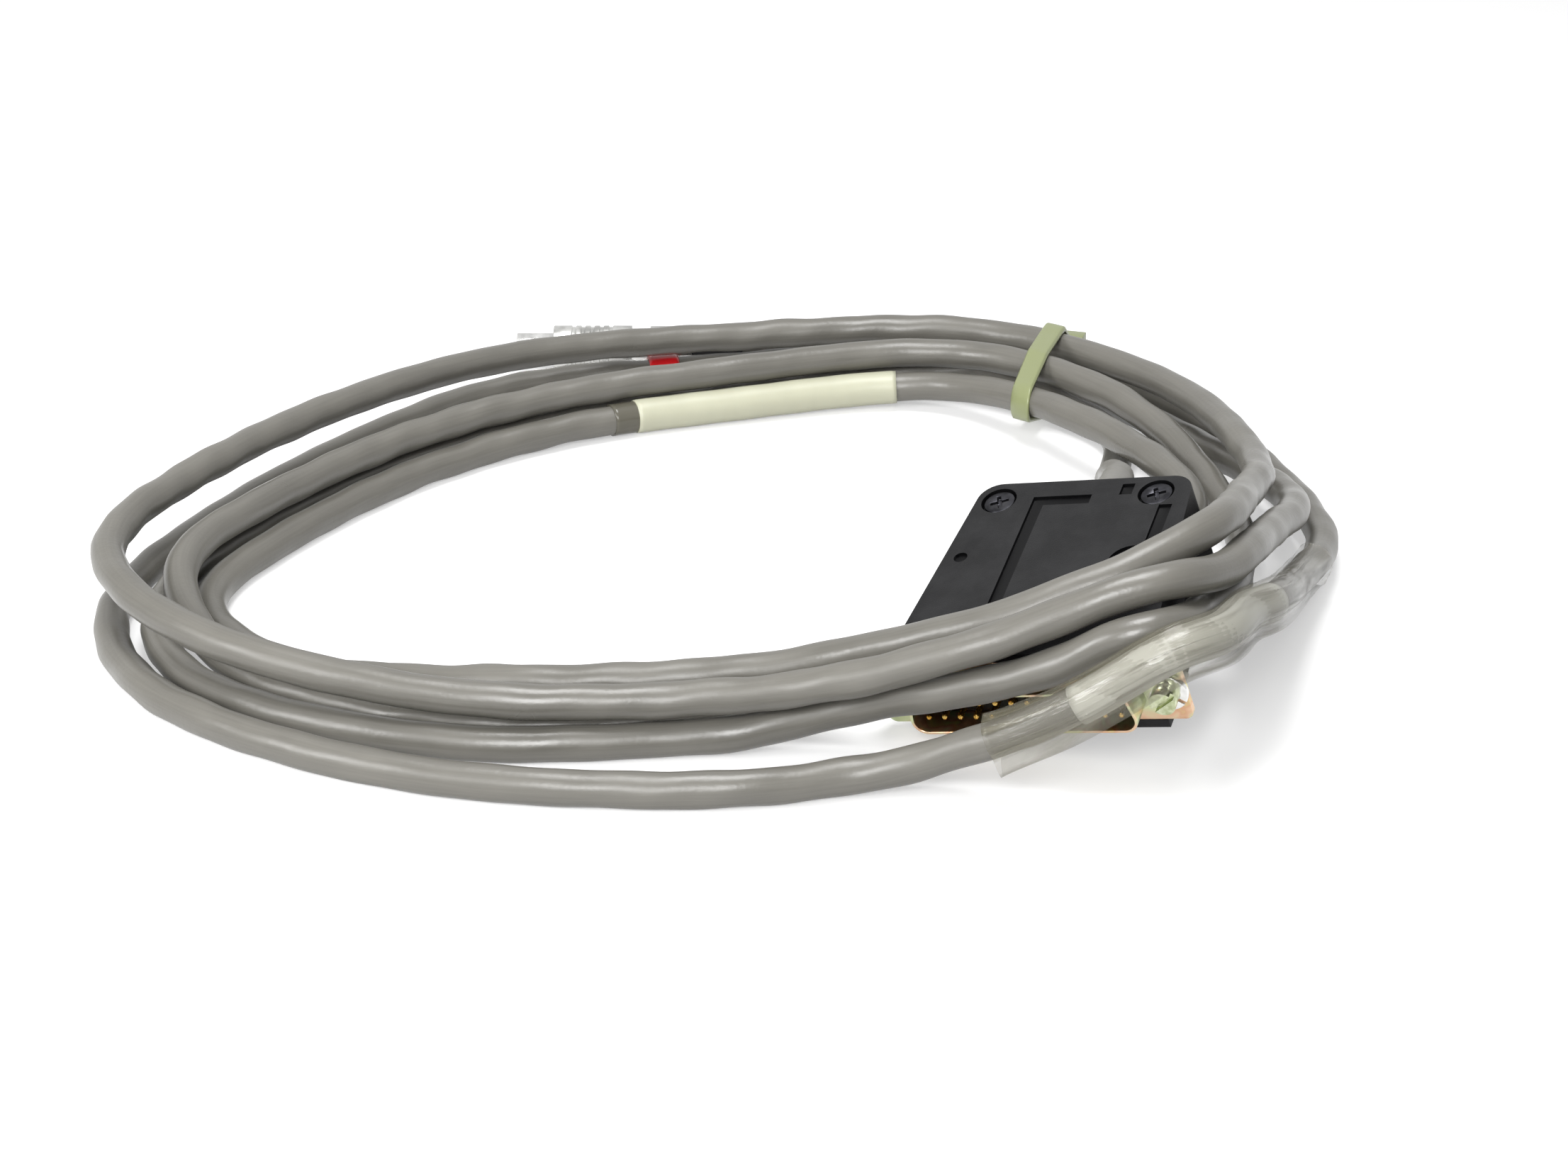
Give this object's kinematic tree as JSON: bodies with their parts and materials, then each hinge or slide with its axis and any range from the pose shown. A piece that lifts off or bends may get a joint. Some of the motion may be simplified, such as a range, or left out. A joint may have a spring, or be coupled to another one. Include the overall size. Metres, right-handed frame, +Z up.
{
  "type": "coiled multi-pin signal cable",
  "caption": "Coiled grey signal cable with a flat D-shaped multi-pin plug in a black two-part hood and a slim round push-pull plug, held by a cable tie.",
  "frame": {"origin": "on the floor under the middle of the whole coil's box", "axes": "+Z up, +Y to the far side of the coil, +X to the right; the hooded plug lies in the near right part and opens towards -Y"},
  "size_m": [0.2261, 0.2236, 0.0378],
  "materials": {
    "hood": "black, fine-grained moulded plastic",
    "black_screw": "blackened steel",
    "chromate_steel": "yellow-green chromate on steel",
    "insulator": "black moulded plastic",
    "gold_contact": "gold-plated",
    "wire": "PVC insulation",
    "steel": "zinc plated",
    "post_steel": "chromated steel",
    "bright_steel": "bright plated",
    "plug_metal": "satin nickel plated",
    "pale_insulator": "natural plastic",
    "brass": "plain brass",
    "relief_rubber": "black rubber",
    "jacket": "satin grey PVC",
    "clear_sleeve": "clear shrink sleeve",
    "inner_label": "milky translucent wrap",
    "ivory_sleeve": "ivory shrink sleeve",
    "red_ring": "red plastic",
    "tie_nylon": "pale yellow-green nylon"
  },
  "bodies": {
    "cable": {"plug_hood_cover": "hood", "plug_hood_base": "hood", "plug_hood_screws": "black_screw", "plug_front_shell": "chromate_steel", "plug_rear_shell": "chromate_steel", "plug_insulator": "insulator", "plug_pins": "gold_contact", "plug_wires": "wire", "plug_cable_clamp": "steel", "plug_clamp_screws": "steel", "plug_lock_posts": "post_steel", "plug_lock_washers": "bright_steel", "plug_post_nuts": "steel", "round_front_shell": "plug_metal", "round_insulator": "pale_insulator", "round_contacts": "gold_contact", "round_wires": "wire", "round_body": "plug_metal", "round_collet": "brass", "round_collet_nut": "plug_metal", "round_bend_relief": "relief_rubber", "cable_coil": "jacket", "plug_lead": "jacket", "round_lead": "jacket", "near_clear_sleeve": "clear_sleeve", "near_label": "inner_label", "far_label_sleeve": "ivory_sleeve", "far_clear_sleeve": "clear_sleeve", "red_marker_ring": "red_ring", "cable_tie": "tie_nylon"},
    "latch": {"round_latch_sleeve": "plug_metal"}
  },
  "joints": [
    {"name": "latch_slide", "type": "slide", "parent": "cable", "child": "latch", "axis": [1, 0, 0], "range_m": [0, 0.0025], "stiffness_N_per_m": 200}
  ]
}
